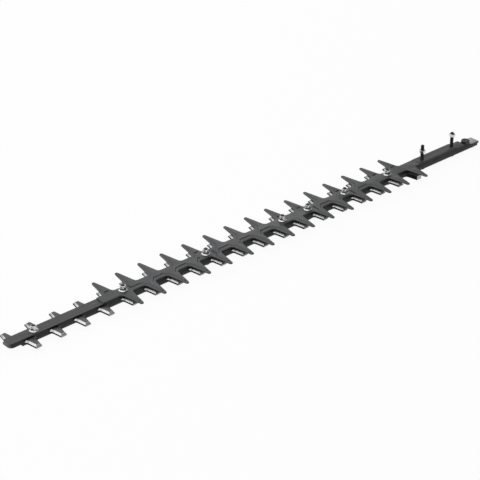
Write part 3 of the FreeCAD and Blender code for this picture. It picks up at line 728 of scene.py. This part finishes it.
class MakeStage(Piece, bpy.types.Operator):
    """Pale floor, soft studio light and the camera"""
    bl_idname = "cutter_bar.stage"
    bl_label = "Stage"

    def execute(self, context):
        scene = context.scene
        scene.view_settings.view_transform = "Standard"
        self.make_floor(scene)
        self.make_light(scene)
        camera = bpy.data.objects.new("camera", bpy.data.cameras.new("camera"))
        camera.data.sensor_fit = "HORIZONTAL"
        camera.data.sensor_width = 36
        camera.data.lens = 125
        camera.location = (-1.28025, -1.41487, 1.10286)
        camera.rotation_euler = (math.radians(59.88), 0, math.radians(-41.14))
        scene.collection.objects.link(camera)
        scene.camera = camera
        return {"FINISHED"}

    def make_floor(self, scene):
        bm = bmesh.new()
        bmesh.ops.create_grid(bm, x_segments=1, y_segments=1, size=12)
        mesh = bpy.data.meshes.new("floor")
        bm.to_mesh(mesh)
        bm.free()
        floor = bpy.data.objects.new("floor", mesh)
        scene.collection.objects.link(floor)
        # Seen directly or in a reflection the floor is white, with a trace of the shadow.
        white_share = 0.94
        material, tree, shader = new_material("studio floor")[:3]
        shader.inputs["Base Color"].default_value = self.colours.floor
        shader.inputs["Roughness"].default_value = 0.9
        shader.inputs["Specular IOR Level"].default_value = 0
        rays = add_node(tree, "ShaderNodeLightPath").outputs
        seen = {0: rays["Is Camera Ray"], 1: rays["Is Glossy Ray"]}
        seen = add_node(tree, "ShaderNodeMath", seen, operation="MAXIMUM")
        seen = {0: seen.outputs[0], 1: rays["Is Transmission Ray"]}
        seen = add_node(tree, "ShaderNodeMath", seen, operation="MAXIMUM")
        share = {0: seen.outputs[0], 1: white_share}
        share = add_node(tree, "ShaderNodeMath", share, operation="MULTIPLY")
        white = add_node(tree, "ShaderNodeEmission", {"Color": (1, 1, 1, 1), "Strength": 1})
        both = {0: share.outputs[0], 1: shader.outputs[0], 2: white.outputs[0]}
        both = add_node(tree, "ShaderNodeMixShader", both)
        tree.links.new(both.outputs[0], tree.nodes["Material Output"].inputs["Surface"])
        mesh.materials.append(material)

    def make_light(self, scene):
        world = bpy.data.worlds.new("studio")
        world.use_nodes = True
        backdrop = world.node_tree.nodes["Background"]
        backdrop.inputs["Color"].default_value = (1, 1, 1, 1)
        backdrop.inputs["Strength"].default_value = 0.25
        scene.world = world
        # One very broad softbox overhead, towards the tip and the far side, so that the near edges stay
        # dark. A dim one behind the drive end gives flat bright metal something to mirror, and a narrow
        # one inside it puts the soft sheen on the middle of the guard.
        boxes = (
            ("softbox", Vector((-0.4, 0.35, 0.85)), 2.0, (4, 4), 56),
            ("rim", Vector((0.57, 0.65, 0.5)), 2.6, (3.2, 2.6), 7),
            ("strip", Vector((0.54, 0.66, 0.51)), 2.5, (0.8, 1.6), 3.5),
        )
        for name, direction, distance, size, watts in boxes:
            light = bpy.data.lights.new(name, "AREA")
            light.shape = "RECTANGLE"
            light.size, light.size_y = size
            light.energy = watts
            lamp = bpy.data.objects.new(name, light)
            lamp.location = direction.normalized() * distance
            lamp.rotation_euler = direction.to_track_quat("Z", "Y").to_euler()
            scene.collection.objects.link(lamp)


class CutterBarPanel(bpy.types.Panel):
    """Lists the pieces of the cutter bar with their sizes and colours"""
    bl_idname = "VIEW3D_PT_cutter_bar"
    bl_label = "Cutter Bar"
    bl_space_type = "VIEW_3D"
    bl_region_type = "UI"
    bl_category = "Cutter Bar"

    def draw(self, context):
        column = self.layout.column()
        for operator in OPERATORS:
            column.operator(operator.bl_idname)
        for group in (context.scene.cutter_bar_sizes, context.scene.cutter_bar_colours):
            for name in group.__annotations__:
                column.prop(group, name)


OPERATORS = (
    MakeGuideBar, MakeFingerGuard, MakeBlades, MakeDrivePins, MakeFlangeNuts, MakeGuideBolts,
    MakeMountingScrews, MakeMountingNuts, MakeWashers, MakeBushes, MakeStage,
)
CLASSES = (CutterBarSizes, CutterBarColours, *OPERATORS, CutterBarPanel)


def register():
    for item in CLASSES:
        bpy.utils.register_class(item)
    bpy.types.Scene.cutter_bar_sizes = bpy.props.PointerProperty(type=CutterBarSizes)
    bpy.types.Scene.cutter_bar_colours = bpy.props.PointerProperty(type=CutterBarColours)


def unregister():
    del bpy.types.Scene.cutter_bar_colours
    del bpy.types.Scene.cutter_bar_sizes
    for item in reversed(CLASSES):
        bpy.utils.unregister_class(item)


def main():
    register()
    bpy.ops.cutter_bar.guide_bar()
    bpy.ops.cutter_bar.finger_guard()
    bpy.ops.cutter_bar.blades()
    bpy.ops.cutter_bar.drive_pins()
    bpy.ops.cutter_bar.flange_nuts()
    bpy.ops.cutter_bar.guide_bolts()
    bpy.ops.cutter_bar.mounting_screws()
    bpy.ops.cutter_bar.mounting_nuts()
    bpy.ops.cutter_bar.washers()
    bpy.ops.cutter_bar.bushes()
    bpy.ops.cutter_bar.stage()


if __name__ == "__main__":
    main()
